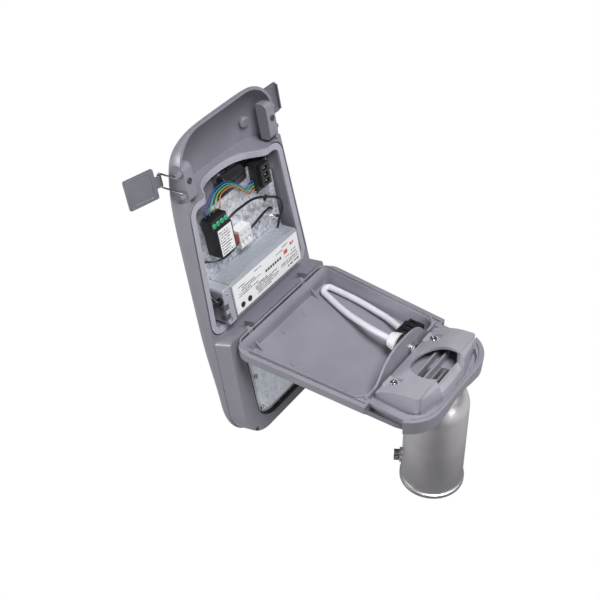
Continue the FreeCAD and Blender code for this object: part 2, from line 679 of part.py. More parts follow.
def saddle_profile(drop, back, front):
    x0, x1 = BLOCK_X
    top = BLOCK_TOP - drop
    base = WELL_FLOOR_Z
    foot = V(x0 + back, 0, base + 12 - drop)
    edges = [
        line(V(x0 + back, 0, base), foot),
        arc(foot, V(x0 + back + 21, 0, top - 11.5), V(x0 + back + 46, 0, top - 3)),
        line(V(x0 + back + 46, 0, top - 3), V(x1 - front, 0, top)),
        line(V(x1 - front, 0, top), V(x1 - front, 0, base)),
        line(V(x1 - front, 0, base), V(x0 + back, 0, base)),
    ]
    return Part.Wire(edges)


def saddle_block():
    outer = prism(saddle_profile(0, 0, 0), V(0, 2 * BLOCK_HALF, 0))
    outer.translate(V(0, -BLOCK_HALF, 0))
    uprights = [e for e in outer.Edges if e.BoundBox.XMin > BLOCK_X[1] - 0.1 and e.BoundBox.ZLength > 20
                and e.BoundBox.YLength < 0.1]
    outer = outer.makeFillet(BLOCK_END_R, uprights)
    room = prism(saddle_profile(BLOCK_SHELL, BLOCK_SHELL, BLOCK_SHELL), V(0, 2 * (BLOCK_HALF - BLOCK_SHELL), 0))
    room.translate(V(0, -(BLOCK_HALF - BLOCK_SHELL), -0.01))
    ends = [e for e in room.Edges if e.BoundBox.XMin > BLOCK_X[1] - BLOCK_SHELL - 0.1 and e.BoundBox.ZLength > 20
            and e.BoundBox.YLength < 0.1]
    room = room.makeFillet(BLOCK_END_R - BLOCK_SHELL + 0.5, ends)
    body = outer.cut(room)
    window = Part.makeCylinder(BLOCK_WINDOW_R, 60, V(BLOCK_WINDOW_X, 0, WELL_FLOOR_Z - 5), Z_AXIS)
    band = block(BLOCK_X[1] - BLOCK_BAND_T, BLOCK_X[1] + 5, -BLOCK_HALF, BLOCK_HALF, 0, WELL_FLOOR_Z + BLOCK_BAND_H)
    body = body.cut(window.cut(band))
    for sign in (-1, 1):
        y = sign * (BLOCK_HALF - 24)
        wedge = block(BLOCK_X[0] - 5, BLOCK_X[0] + 24, y - 8, y + 8, WELL_FLOOR_Z + 16, BLOCK_TOP + 5)
        floor = block(BLOCK_X[0] + 1, BLOCK_X[0] + 24, y - 10, y + 10, WELL_FLOOR_Z + 12, WELL_FLOOR_Z + 16)
        hole = Part.makeCylinder(2.7, 6, V(BLOCK_X[0] + 13, y, WELL_FLOOR_Z + 11), Z_AXIS)
        body = body.cut(wedge).fuse(floor).cut(hole)
    return body.removeSplitter()


def saddle_screws():
    screws = []
    for sign in (-1, 1):
        y = sign * (BLOCK_HALF - 24)
        place = V(BLOCK_X[0] + 13, y, WELL_FLOOR_Z + 16)
        screws.append(pan_screw(place.add(V(0, 0, 0.02)), Z_AXIS, 5.0, 3.4, 2.6, 3.0))
    return Part.makeCompound(screws)



# Parts that ride on the lid, drawn in the closed position

def seal_gasket():
    band = prism(seal_outline(0.3, 0), V(0, 0, SEAL_T - 0.1)).cut(
        prism(seal_outline(SEAL_W, 1), V(0, 0, SEAL_T + 4)))
    band = band.cut(lid_block(SEAL_TOP_U - SEAL_W - 1, SEAL_TOP_U + 5, -ARCH_HALF, ARCH_HALF, -10, 5))
    x0 = SEAL_X + SEAL_TOP_U - SEAL_W
    outer = arch_face(x0, SEAL_Z, ARCH_RISE + SEAL_T - 0.2, ARCH_HALF + SEAL_T - 0.2)
    inner = arch_face(x0, SEAL_Z - 0.3, ARCH_RISE + 0.6, ARCH_HALF + 0.3)
    arch = outer.extrude(V(SEAL_W - 0.3, 0, 0)).cut(inner.extrude(V(SEAL_W, 0, 0)))
    arch = arch.cut(lid_block(0, SEAL_TOP_U + 5, -100, 100, 0, 5))
    return band.fuse(arch).removeSplitter()


def plate_wire(u0, u1, half, n, radius):
    points = ((u0, -half), (u1, -half), (u1, half), (u0, half))
    return rounded(points, [radius] * 4, lambda u, y: lid(u, y, n))


def gear_plate():
    u0, u1 = PLATE_U
    arm_y, arm_u = PLATE_ARM
    corners = ((u0, -PLATE_HALF), (u1, -PLATE_HALF), (u1, arm_y), (arm_u, arm_y), (arm_u, PLATE_HALF), (u0, PLATE_HALF))
    plate = prism(rounded(corners, (8, 8, 4, 4, 8, 8), lambda u, y: lid(u, y, PLATE_N)), V(0, 0, PLATE_T))
    for y in (-PLATE_HALF, PLATE_HALF - PLATE_T):
        plate = plate.fuse(lid_block(u0 + 10, u1 - 10, y, y + PLATE_T, PLATE_N - PLATE_T, PLATE_N + 5))
    for u, y in PLATE_SCREWS:
        plate = plate.cut(Part.makeCylinder(SCREW_R + 0.1, 6, lid(u, y, PLATE_N + 2), Z_AXIS))
    for u, y, radius in ((120, 71, 5.0), (136, 58, 2.2), (92, 50, 2.2), (150, 64, 2.2), (80, 88, 3.0)):
        plate = plate.cut(Part.makeCylinder(radius, 12, lid(u, y, PLATE_N + 6), Z_AXIS))
    return plate.removeSplitter()


def driver_profile(grow):
    u0, u1 = DRIVER_U
    points = ((u0 - grow, DRIVER_N - 8), (u0 + 7, DRIVER_N + grow), (u1 - 3, DRIVER_N + grow),
              (u1 + grow, DRIVER_N - 4), (u1 + grow, DRIVER_BACK), (u0 - grow, DRIVER_BACK))
    return rounded(points, (1.5, 1.5, 1.5, 1.5, 1, 1), lambda u, n: lid(u, DRIVER_Y[0], n))


def driver_case():
    length = DRIVER_Y[1] - DRIVER_Y[0]
    case = prism(driver_profile(0), V(0, length, 0))
    for i in range(6):
        n = DRIVER_N - 9 - i * 4.0
        groove = lid_block(DRIVER_U[1] - 0.9, DRIVER_U[1] + 2, DRIVER_Y[0] - 1, DRIVER_Y[1] + 1, n - 1.6, n)
        case = case.cut(groove)
    recess = lid_block(DRIVER_U[0] + 8, DRIVER_U[1] - 4, DRIVER_Y[0] + 1, DRIVER_Y[1] - 1, DRIVER_N - 0.5, DRIVER_N + 2)
    return case.cut(recess)


def driver_label():
    return lid_block(DRIVER_U[0] + 8.3, DRIVER_U[1] - 4.3, DRIVER_Y[0] + 1.3, DRIVER_Y[1] - 1.3,
                     DRIVER_N - 0.5, DRIVER_N - 0.1)


def driver_end_cap():
    u0, u1 = DRIVER_U
    y1 = DRIVER_Y[0] - 0.2
    points = ((u0 + 1, y1), (u0 + 1, y1 - 17), (u1 - 1, y1 - 17), (u1 - 1, y1))
    cap = prism(rounded(points, (1, 5, 5, 1), lambda u, y: lid(u, y, DRIVER_BACK)), V(0, 0, -(DRIVER_N - 2 - DRIVER_BACK)))
    ends = [e for e in cap.Edges if abs(e.CenterOfMass.z - (SEAL_Z - DRIVER_N + 2)) < 0.01]
    cap = cap.makeFillet(1.2, ends)
    for u in (u0 + 15, u0 + 31):
        cap = cap.cut(lid_block(u - 5, u + 5, y1 - 20, y1 - 10, DRIVER_N - 12, DRIVER_N + 5))
    return cap


def driver_plugs():
    plugs = []
    y1 = DRIVER_Y[0] - 0.2
    for u in (DRIVER_U[0] + 15, DRIVER_U[0] + 31):
        body = lid_block(u - 4.6, u + 4.6, y1 - 19, y1 - 10.4, DRIVER_N - 11.6, DRIVER_N - 3)
        for k in (-2.3, 2.3):
            hole = Part.makeCylinder(1.1, 4, lid(u + k, y1 - 14.5, DRIVER_N - 3), V(0, 0, 1))
            body = body.cut(hole)
        plugs.append(body)
    return Part.makeCompound(plugs)


def surge_block():
    wire = rounded(((104, -61), (150, -61), (150, -28), (104, -28)), (2, 2, 2, 2), lambda u, y: lid(u, y, PLATE_N + 0.1))
    body = prism(wire, V(0, 0, PLATE_N))
    top = [e for e in body.Edges if abs(e.CenterOfMass.z - (SEAL_Z + 0.1 - 0.2)) < 0.3]
    return body.makeFillet(0.8, top) if top else body


def surge_terminals():
    body = lid_block(150.3, 166, -66, -34, PLATE_N + 6, -1)
    for i in range(4):
        y = -62 + i * 8
        body = body.cut(Part.makeCylinder(2.4, 8, lid(158, y, -6), V(0, 0, -1)))
        body = body.cut(lid_block(163, 168, y - 2.4, y + 2.4, -16, -10))
    return body


def wire_block():
    body = lid_block(88, 116, -12, 14, PLATE_N + 0.1, -8)
    for i in range(3):
        y = -7.5 + i * 8
        body = body.cut(lid_block(92, 100, y - 2.6, y + 2.6, -11, -5))
        body = body.cut(Part.makeCylinder(1.9, 6, lid(108, y, -7), V(0, 0, 1)))
    return body


def surge_canister():
    y0, y1 = CANISTER_Y
    body = rod(lid(CANISTER_U, y0, CANISTER_N), lid(CANISTER_U, y1, CANISTER_N), CANISTER_R)
    ends = [e for e in body.Edges if len(e.Vertexes) == 1]
    return body.makeFillet(1.2, ends)


def disconnect_socket():
    body = lid_block(146, 188, 48, 74, PLATE_N + 0.1, -12)
    tower = lid_block(152, 186, 52, 70, -12.5, -4.2)
    body = body.fuse(tower)
    for i in range(3):
        u = 159 + i * 10
        body = body.cut(lid_block(u - 3, u + 3, 56, 66, -9, -3))
    return body.removeSplitter()


def plate_screws():
    screws = []
    for u, y in PLATE_SCREWS:
        screws.append(pan_screw(lid(u, y, PLATE_N + SEAT_GAP), V(0, 0, -1), 4.2, 2.6, SCREW_R, 3.0))
    return Part.makeCompound(screws)


def ear_screws():
    screws = []
    for sign in (-1, 1):
        screws.append(pan_screw(lid(EAR_U + 4, sign * EAR_SCREW_Y, EAR_FACE_N + 0.02), V(0, 0, -1), 4.0, 1.5, SCREW_R, 7.0))
    return Part.makeCompound(screws)


def led_plate():
    plate = prism(led_window(-0.5, LED_DROP - LED_RECESS + LED_PLATE_T), V(0, 0, LED_PLATE_T - 0.2))
    for u, y in LED_SCREWS:
        plate = plate.cut(Part.makeCylinder(SCREW_R + 0.1, 9, lid(u, y, LED_DROP), Z_AXIS))
    return plate


def lens_array():
    n = LED_DROP - LED_RECESS + LED_PLATE_T
    sheet = prism(led_window(-10.5, n + LENS_T), V(0, 0, LENS_T - 0.2))
    rows = []
    for i in range(6):
        for j in range(8):
            u = LED_BACK_U - 32 - i * 20
            y = -59.5 + j * 17
            if lens_fits(u, y):
                dome = Part.makeCone(LENS_R, LENS_TOP_R, LENS_H, lid(u, y, n + LENS_T - 0.4), V(0, 0, -1))
                rows.append(dome)
    whole = fused([sheet] + rows)
    for u, y in LED_SCREWS:
        whole = whole.cut(Part.makeCylinder(SCREW_R + 0.1, 9, lid(u, y, LED_DROP), Z_AXIS))
    return whole


def lens_fits(u, y):
    low = TIP_U + LED_INSET + LED_TIP_RING + 10.5
    half = LID_HALF - LED_INSET - LED_RING - 10.5
    corner = LED_CORNER_R - 10.5
    in_u = max(low + corner - u, 0)
    in_y = max(abs(y) - half + corner, 0)
    return u > low + 7 and math.hypot(in_u, in_y) < corner - 7.5


def led_screws():
    n = LED_DROP - LED_RECESS + LED_PLATE_T
    screws = []
    for u, y in LED_SCREWS:
        screws.append(pan_screw(lid(u, y, n + LENS_T + 0.02), V(0, 0, -1), 4.0, 2.0, SCREW_R, 4.0))
    return Part.makeCompound(screws)


def tip_screw():
    u, y = TIP_SCREW
    return pan_screw(lid(u, y, LED_DROP + 0.02), V(0, 0, -1), 3.0, 1.6, SCREW_R, 7.0)


def lead_grommet():
    u, y, n = GROMMET
    body = rod(lid(u, y, n), lid(u, y - 2.4, n), 5.2)
    body = body.fuse(rod(lid(u, y - 2.4, n), lid(u, y - 3.2, n), 3.8))
    return body.cut(rod(lid(u, y + 1, n), lid(u, y - 8, n), LEAD_D / 2 + 0.2))


def supply_wire(index):
    """One of the four wires that arch from the surge terminals to the socket."""
    shift = index * (WIRE_D + 0.3)
    rise = index * (WIRE_D + 0.3)
    y0 = -62 + index * 8
    landing = 149.5 + 4.5 * (3 - index)
    points = [(166.4, y0, -13.0), (176 - shift / 2, y0, -12.5 + rise), (192 - shift, -36 + shift, -18.0 + rise),
              (193 - shift, -6, -19.5 + rise), (178 - shift, 14, -19.5 + rise), (158 - shift / 2, 30 - shift / 2, -19.0 + rise),
              (landing, 38, -18.6), (landing, 47.7, -18.6)]
    return points


def wire_blue():
    return lid_cord("wire_blue", supply_wire(0), WIRE_D)


def wire_teal():
    return lid_cord("wire_teal", supply_wire(1), WIRE_D)


def wire_earth():
    return lid_cord("wire_earth", supply_wire(2), WIRE_D)


def wire_orange():
    return lid_cord("wire_orange", supply_wire(3), WIRE_D)


def link_black():
    return lid_cord("link_black", LINK_BLACK, WIRE_D)


def link_white():
    return lid_cord("link_white", LINK_WHITE, WIRE_D)


def loop_cable():
    return lid_cord("loop_cable", LOOP_PATH, LOOP_D)


def branch_cable():
    return lid_cord("branch_cable", BRANCH_PATH, LOOP_D)


def driver_lead():
    return lid_cord("driver_lead", LEAD_PATH, LEAD_D)


# Latches, drawn in the plane across the luminaire and set at their rest angles

def latch_axis(bail_angle):
    angle = math.radians(bail_angle)
    return BAIL_Y + BAIL_ARM * math.sin(angle), BAIL_N + BAIL_ARM * math.cos(angle)


def bail(sign, bail_angle):
    angle = math.radians(bail_angle)
    half = BAIL_SPREAD / 2
    end = half + 8.0

    def place(u, reach):
        return lid(LATCH_U + u, sign * (BAIL_Y + reach * math.sin(angle)), BAIL_N + reach * math.cos(angle))

    corners = [(-end, 0), (-half, 0), (-half, BAIL_ARM), (half, BAIL_ARM), (half, 0), (end, 0)]
    r = BAIL_BEND_R
    edges = []
    start = place(*corners[0])
    turn = r * (1 - math.sqrt(0.5))
    for i in range(1, 5):
        u, reach = corners[i]
        bu = math.copysign(1, corners[i - 1][0] - u) if corners[i - 1][0] != u else 0
        br = math.copysign(1, corners[i - 1][1] - reach) if corners[i - 1][1] != reach else 0
        au = math.copysign(1, corners[i + 1][0] - u) if corners[i + 1][0] != u else 0
        ar = math.copysign(1, corners[i + 1][1] - reach) if corners[i + 1][1] != reach else 0
        first = place(u + bu * r, reach + br * r)
        middle = place(u + (bu + au) * turn, reach + (br + ar) * turn)
        last = place(u + au * r, reach + ar * r)
        edges.append(line(start, first))
        edges.append(arc(first, middle, last))
        start = last
    edges.append(line(start, place(*corners[5])))
    path = Part.Wire(edges)
    ring = Part.Wire([Part.Circle(place(*corners[0]), X_AXIS, BAIL_D / 2).toShape()])
    return path.makePipeShell([ring], True, True)


def flap(sign, bail_angle, flap_angle):
    pivot_y, pivot_n = latch_axis(bail_angle)
    angle = math.radians(flap_angle)
    half = FLAP_WIDTH / 2

    def place(u, s, t):
        out = pivot_y + s * math.sin(angle) - t * math.cos(angle)
        down = pivot_n + s * math.cos(angle) + t * math.sin(angle)
        return lid(LATCH_U + u, sign * out, down)

    normal = place(0, 0, 1).sub(place(0, 0, 0))
    inner = BAIL_D / 2 + PIN_CLEARANCE
    neck = BAIL_SPREAD / 2 - BAIL_BEND_R - SEAT_GAP
    points = ((-neck, 1), (neck, 1), (neck, 8), (half, 8), (half, FLAP_LENGTH), (-half, FLAP_LENGTH), (-half, 8), (-neck, 8))
    plate = prism(rounded(points, (0.6, 0.6, 1.5, 3, 3, 3, 3, 1.5), lambda u, s: place(u, s, 1.6)), V(normal).multiply(FLAP_T))
    curl = rounded(((-half + 3, FLAP_LENGTH - 1.8), (half - 3, FLAP_LENGTH - 1.8), (half - 3, FLAP_LENGTH), (-half + 3, FLAP_LENGTH)),
                   (0.6,) * 4, lambda u, s: place(u, s, 2.0))
    curl = prism(curl, V(normal).multiply(FLAP_T + 2.6))
    pressed = rounded(((-half + 5, 14), (half - 5, 14), (half - 5, FLAP_LENGTH - 8), (-half + 5, FLAP_LENGTH - 8)), (4,) * 4,
                      lambda u, s: place(u, s, 1.6 + FLAP_T - 0.5))
    plate = plate.fuse(curl).cut(prism(pressed, V(normal).multiply(3)))
    tube_body = rod(place(-neck, 0, 0), place(neck, 0, 0), inner + 1.5)
    hook = prism(rounded(((-neck, HOOK_AT), (neck, HOOK_AT), (neck, HOOK_AT + 1.6), (-neck, HOOK_AT + 1.6)), (0.5,) * 4,
                         lambda u, s: place(u, s, -HOOK_REACH)), V(normal).multiply(HOOK_REACH + 2.2))
    shape = fused([plate, tube_body, hook])
    return shape.cut(rod(place(-half, 0, 0), place(half, 0, 0), inner))


def left_bail():
    return bail(-1, BAIL_OPEN)


def right_bail():
    return bail(1, BAIL_OPEN)


def left_flap():
    return flap(-1, BAIL_OPEN, LEFT_FLAP_OPEN)


def right_flap():
    return flap(1, BAIL_OPEN, RIGHT_FLAP_OPEN)


# Cords and their fittings

def report(name, points, diameter, shape):
    path = tube_path(points)
    radii = [round(e.Curve.Radius, 2) for e in path.Edges if hasattr(e.Curve, "Radius")]
    print(name, "length", round(path.Length, 1), "radii", radii, "volume ratio",
          round(shape.Volume / (path.Length * math.pi * diameter ** 2 / 4), 4))


def lid_cord(name, points, diameter):
    path = [tuple(lid(*p)) for p in points]
    shape = tube(path, diameter)
    report(name, path, diameter, shape)
    return shape


def tray_cord(name, points, diameter):
    shape = tube(points, diameter)
    report(name, points, diameter, shape)
    return shape


def inlet_cable():
    return tray_cord("inlet_cable", INLET_PATH, INLET_D)


def cable_gland():
    body = rod(V(BULKHEAD_X - 18, GLAND_Y, GLAND_Z), V(BULKHEAD_X - 0.3, GLAND_Y, GLAND_Z), 12.9)
    collar = hexagon(BULKHEAD_X - 9, BULKHEAD_X - 0.3, 31.0)
    body = body.fuse(collar)
    return body.cut(rod(V(BULKHEAD_X - 30, GLAND_Y, GLAND_Z), V(BULKHEAD_X + 5, GLAND_Y, GLAND_Z), INLET_D / 2 + 0.3))


def gland_clamp():
    x0 = BULKHEAD_X - 16.5
    band = rod(V(x0, GLAND_Y, GLAND_Z), V(x0 + 5, GLAND_Y, GLAND_Z), 14.3)
    ear = block(x0, x0 + 5, GLAND_Y - 22, GLAND_Y - 12, GLAND_Z - 3, GLAND_Z + 3)
    band = band.fuse(ear)
    return band.cut(rod(V(x0 - 1, GLAND_Y, GLAND_Z), V(x0 + 6, GLAND_Y, GLAND_Z), 13.2))


def gland_ring():
    x0 = BULKHEAD_X + BULKHEAD_T + 0.3
    ring = rod(V(x0, GLAND_Y, GLAND_Z), V(x0 + 2.2, GLAND_Y, GLAND_Z), 10.0)
    return ring.cut(rod(V(x0 - 1, GLAND_Y, GLAND_Z), V(x0 + 4, GLAND_Y, GLAND_Z), 6.0))


def connector_contacts():
    contacts = []
    for i in range(3):
        y = 48 + i * 10
        contacts.append(block(-87.6, -78.4, y - 0.8, y + 0.8, 191.3, 197.5))
    return Part.makeCompound(contacts)


def hexagon(x0, x1, across):
    radius = across / math.sqrt(3)
    points = []
    for i in range(7):
        angle = math.pi / 3 * i
        points.append(V(x0, GLAND_Y + radius * math.cos(angle), GLAND_Z + radius * math.sin(angle)))
    return Part.Face(Part.makePolygon(points)).extrude(V(x1 - x0, 0, 0))


def gland_nut():
    x1 = BULKHEAD_X - 18.3
    body = Part.makeCone(11.0, 14.5, 13, V(x1 - 13, GLAND_Y, GLAND_Z), X_AXIS)
    for i in range(12):
        angle = math.pi / 6 * i
        y = GLAND_Y + 15.2 * math.cos(angle)
        z = GLAND_Z + 15.2 * math.sin(angle)
        body = body.cut(rod(V(x1 - 14, y, z), V(x1 - 3, y, z), 1.6))
    return body.cut(rod(V(x1 - 20, GLAND_Y, GLAND_Z), V(x1 + 5, GLAND_Y, GLAND_Z), INLET_D / 2 + 0.3))


def base_connector():
    body = block(-98, -68, 42, 74, PAN_FLOOR_Z + 0.3, 199)
    body = body.cut(block(-99, -91, 41, 75, 192, 200))
    for i in range(3):
        y = 48 + i * 10
        body = body.cut(block(-88, -78, y - 3, y + 3, 191, 205))
        body = body.cut(Part.makeCylinder(2.0, 3, V(-95, y, 190), Z_AXIS))
    return body


NODES = {
    "spigot": spigot,
    "set_screws": set_screws,
    "tray": tray,
    "hinge_pins": hinge_pins,
    "saddle_block": saddle_block,
    "saddle_screws": saddle_screws,
    "cable_gland": cable_gland,
    "gland_nut": gland_nut,
    "inlet_cable": inlet_cable,
    "base_connector": base_connector,
    "gland_clamp": gland_clamp,
    "gland_ring": gland_ring,
    "connector_contacts": connector_contacts,
}
LID_NODES = {
    "housing": housing,
    "seal_gasket": seal_gasket,
    "gear_plate": gear_plate,
    "driver_case": driver_case,
    "driver_label": driver_label,
    "driver_end_cap": driver_end_cap,
    "driver_plugs": driver_plugs,
    "surge_block": surge_block,
    "surge_terminals": surge_terminals,
    "wire_block": wire_block,
    "surge_canister": surge_canister,
    "disconnect_socket": disconnect_socket,
    "plate_screws": plate_screws,
    "ear_screws": ear_screws,
    "led_plate": led_plate,
    "lens_array": lens_array,
    "led_screws": led_screws,
    "tip_screw": tip_screw,
    "lead_grommet": lead_grommet,
    "driver_lead": driver_lead,
    "wire_blue": wire_blue,
    "wire_teal": wire_teal,
    "wire_earth": wire_earth,
    "wire_orange": wire_orange,
    "link_black": link_black,
    "link_white": link_white,
    "loop_cable": loop_cable,
    "branch_cable": branch_cable,
    "left_bail": left_bail,
    "right_bail": right_bail,
    "left_flap": left_flap,
    "right_flap": right_flap,
}


def main():
    os.makedirs("parts", exist_ok=True)
    for name, build in NODES.items():
        shape = build()
        shape.exportStep("parts/" + name + ".step")
        print(name, shape.isValid(), len(shape.Solids), round(shape.Volume), shape.BoundBox)
    for name, build in LID_NODES.items():
        shape = opened(build())
        shape.exportStep("parts/" + name + ".step")
        print(name, shape.isValid(), len(shape.Solids), round(shape.Volume), shape.BoundBox)


main()
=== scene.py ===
import bpy
import math
from mathutils import Matrix, Vector


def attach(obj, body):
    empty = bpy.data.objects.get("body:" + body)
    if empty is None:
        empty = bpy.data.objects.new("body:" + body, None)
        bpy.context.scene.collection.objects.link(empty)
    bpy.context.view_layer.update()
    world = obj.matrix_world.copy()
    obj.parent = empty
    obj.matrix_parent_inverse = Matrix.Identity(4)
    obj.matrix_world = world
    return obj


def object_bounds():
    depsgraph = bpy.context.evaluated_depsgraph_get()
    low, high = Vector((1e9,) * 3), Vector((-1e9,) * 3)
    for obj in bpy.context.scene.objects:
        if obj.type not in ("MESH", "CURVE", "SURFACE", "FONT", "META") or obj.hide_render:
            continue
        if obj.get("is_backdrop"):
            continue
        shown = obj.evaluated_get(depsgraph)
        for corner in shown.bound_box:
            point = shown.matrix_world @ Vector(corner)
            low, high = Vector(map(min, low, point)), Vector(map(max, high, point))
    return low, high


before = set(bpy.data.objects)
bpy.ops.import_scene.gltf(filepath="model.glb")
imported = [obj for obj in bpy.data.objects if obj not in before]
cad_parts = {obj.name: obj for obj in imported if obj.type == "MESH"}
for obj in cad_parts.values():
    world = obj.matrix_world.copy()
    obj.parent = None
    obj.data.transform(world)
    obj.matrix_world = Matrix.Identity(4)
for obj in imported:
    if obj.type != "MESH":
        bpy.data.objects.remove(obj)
low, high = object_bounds()


# Camera fitted to the photograph, whose frame is 600 pixels wide and high

FRAME_PX = 600
SENSOR_MM = 36
AZIMUTH = math.radians(36.68)
ELEVATION = math.radians(41.52)
ROLL = math.radians(-1.56)
FOCAL_PX = 1160.84
DEPTH = 1.66686
ORIGIN_PX = (431.47, 473.5)


def photo_camera():
    right = Vector((math.cos(AZIMUTH), math.sin(AZIMUTH), 0))
    back = Vector((math.sin(AZIMUTH) * math.cos(ELEVATION), -math.cos(AZIMUTH) * math.cos(ELEVATION),
                   math.sin(ELEVATION)))
    up = back.cross(right)
    x_axis = right * math.cos(ROLL) + up * math.sin(ROLL)
    y_axis = -right * math.sin(ROLL) + up * math.cos(ROLL)
    scale = DEPTH / FOCAL_PX
    middle = FRAME_PX / 2
    origin = Vector(((ORIGIN_PX[0] - middle) * scale, -(ORIGIN_PX[1] - middle) * scale, -DEPTH))
    turn = Matrix((x_axis, y_axis, back))
    place = -(turn.transposed() @ origin)
    data = bpy.data.cameras.new("photo_camera")
    data.sensor_width = SENSOR_MM
    data.lens = FOCAL_PX * SENSOR_MM / FRAME_PX
    data.clip_start = 0.05
    data.clip_end = 30
    camera = bpy.data.objects.new("photo_camera", data)
    bpy.context.scene.collection.objects.link(camera)
    camera.matrix_world = Matrix.Translation(place) @ turn.transposed().to_4x4()
    bpy.context.scene.camera = camera


# Materials

EDGE_RADIUS = 0.0007
ROUGH_SPREAD = 0.06
BUMP_DEPTH = 0.0004
COAT_ROUGHNESS = 0.2


def new_material(name):
    material = bpy.data.materials.new(name)
    material.use_nodes = True
    tree = material.node_tree
    shader = tree.nodes["Principled BSDF"]
    return material, tree, shader


def noise(tree, scale, detail):
    coords = tree.nodes.new("ShaderNodeTexCoord")
    texture = tree.nodes.new("ShaderNodeTexNoise")
    texture.inputs["Scale"].default_value = scale
    texture.inputs["Detail"].default_value = detail
    tree.links.new(coords.outputs["Object"], texture.inputs["Vector"])
    return texture


def ramp(tree, source, stops):
    node = tree.nodes.new("ShaderNodeValToRGB")
    node.color_ramp.elements[0].position = stops[0][0]
    node.color_ramp.elements[0].color = stops[0][1]
    node.color_ramp.elements[1].position = stops[-1][0]
    node.color_ramp.elements[1].color = stops[-1][1]
    for position, color in stops[1:-1]:
        element = node.color_ramp.elements.new(position)
        element.color = color
    tree.links.new(source, node.inputs["Fac"])
    return node


def shade(color, factor):
    return tuple(min(1.0, c * factor) for c in color[:3]) + (1.0,)


def surface(name, color, roughness, metallic, grain, scale, bump=0.0, bump_scale=900.0, coat=0.0):
    """Plain surface with a slow tone change, uneven roughness, soft edges and an optional fine bump."""
    material, tree, shader = new_material(name)
    shader.inputs["Metallic"].default_value = metallic
    texture = noise(tree, scale, 5.0)
    stops = ((0.3, shade(color, 1 - grain)), (0.7, shade(color, 1 + grain)))
    tint = ramp(tree, texture.outputs["Fac"], stops)
    tree.links.new(tint.outputs["Color"], shader.inputs["Base Color"])
    spread = tree.nodes.new("ShaderNodeMapRange")
    spread.inputs["To Min"].default_value = max(roughness - ROUGH_SPREAD, 0.02)
    spread.inputs["To Max"].default_value = min(roughness + ROUGH_SPREAD, 1.0)
    tree.links.new(texture.outputs["Fac"], spread.inputs["Value"])
    tree.links.new(spread.outputs["Result"], shader.inputs["Roughness"])
    if coat:
        shader.inputs["Coat Weight"].default_value = coat
        shader.inputs["Coat Roughness"].default_value = COAT_ROUGHNESS
    soft = tree.nodes.new("ShaderNodeBevel")
    soft.samples = 4
    soft.inputs["Radius"].default_value = EDGE_RADIUS
    tree.links.new(soft.outputs["Normal"], shader.inputs["Normal"])
    if bump:
        fine = noise(tree, bump_scale, 2.0)
        node = tree.nodes.new("ShaderNodeBump")
        node.inputs["Strength"].default_value = bump
        node.inputs["Distance"].default_value = BUMP_DEPTH
        tree.links.new(soft.outputs["Normal"], node.inputs["Normal"])
        tree.links.new(fine.outputs["Fac"], node.inputs["Height"])
        tree.links.new(node.outputs["Normal"], shader.inputs["Normal"])
    return material


def spangle(name, scale, stops, metallic):
    """Small cells of slightly different brightness, as in hot-dip zinc or on a field of tiny lenses."""
    material, tree, shader = new_material(name)
    shader.inputs["Metallic"].default_value = metallic
    coords = tree.nodes.new("ShaderNodeTexCoord")
    cells = tree.nodes.new("ShaderNodeTexVoronoi")
    cells.inputs["Scale"].default_value = scale
    tree.links.new(coords.outputs["Object"], cells.inputs["Vector"])
    split = tree.nodes.new("ShaderNodeSeparateColor")
    tree.links.new(cells.outputs["Color"], split.inputs["Color"])
    tint = ramp(tree, split.outputs["Red"], stops)
    tree.links.new(tint.outputs["Color"], shader.inputs["Base Color"])
    spread = tree.nodes.new("ShaderNodeMapRange")
    spread.inputs["To Min"].default_value = 0.3
    spread.inputs["To Max"].default_value = 0.55
    tree.links.new(split.outputs["Green"], spread.inputs["Value"])
    tree.links.new(spread.outputs["Result"], shader.inputs["Roughness"])
    return material


HOUSING = surface("painted_aluminium", (0.256, 0.251, 0.295), 0.38, 0.15, 0.07, 18, 0.35, 1500)
TRAY_PAINT = surface("tray_paint", (0.284, 0.280, 0.326), 0.38, 0.12, 0.07, 18, 0.35, 1500)
CAST = surface("satin_cast", (0.66, 0.64, 0.67), 0.38, 0.85, 0.06, 25, 0.12, 1100)
BLOCK = surface("block_cast", (0.47, 0.46, 0.52), 0.38, 0.35, 0.07, 25, 0.3, 1300)
STEEL = surface("bright_steel", (0.62, 0.62, 0.63), 0.22, 1.0, 0.05, 60)
DARK_STEEL = surface("dark_steel", (0.10, 0.10, 0.11), 0.35, 0.9, 0.08, 60)
ZINC_TONES = ((0.0, (0.52, 0.54, 0.59, 1)), (0.5, (0.74, 0.77, 0.83, 1)), (1.0, (0.93, 0.95, 0.98, 1)))
ZINC = spangle("spangled_zinc", 240, ZINC_TONES, 0.75)
FLAP = surface("stainless_flap", (0.21, 0.216, 0.247), 0.38, 0.7, 0.08, 40)
SEAL = surface("seal_rubber", (0.39, 0.385, 0.45), 0.55, 0.0, 0.04, 30)
BLACK = surface("black_plastic", (0.012, 0.012, 0.015), 0.38, 0.0, 0.15, 40)
GREY = surface("grey_plastic", (0.11, 0.115, 0.135), 0.42, 0.1, 0.05, 40)
DRIVER = surface("driver_metal", (0.55, 0.575, 0.635), 0.32, 0.55, 0.05, 40)
WHITE = surface("white_plastic", (0.70, 0.70, 0.71), 0.40, 0.0, 0.03, 40)
LABEL = surface("label_paper", (0.84, 0.84, 0.85), 0.5, 0.0, 0.02, 30)
CAP = surface("cap_cast", (0.46, 0.47, 0.52), 0.42, 0.3, 0.06, 40)
WIRE = surface("bail_wire", (0.36, 0.36, 0.38), 0.3, 1.0, 0.06, 60)
GREEN = surface("green_plastic", (0.05, 0.42, 0.20), 0.35, 0.0, 0.06, 40)
RED = surface("red_plastic", (0.45, 0.10, 0.10), 0.4, 0.0, 0.06, 40)
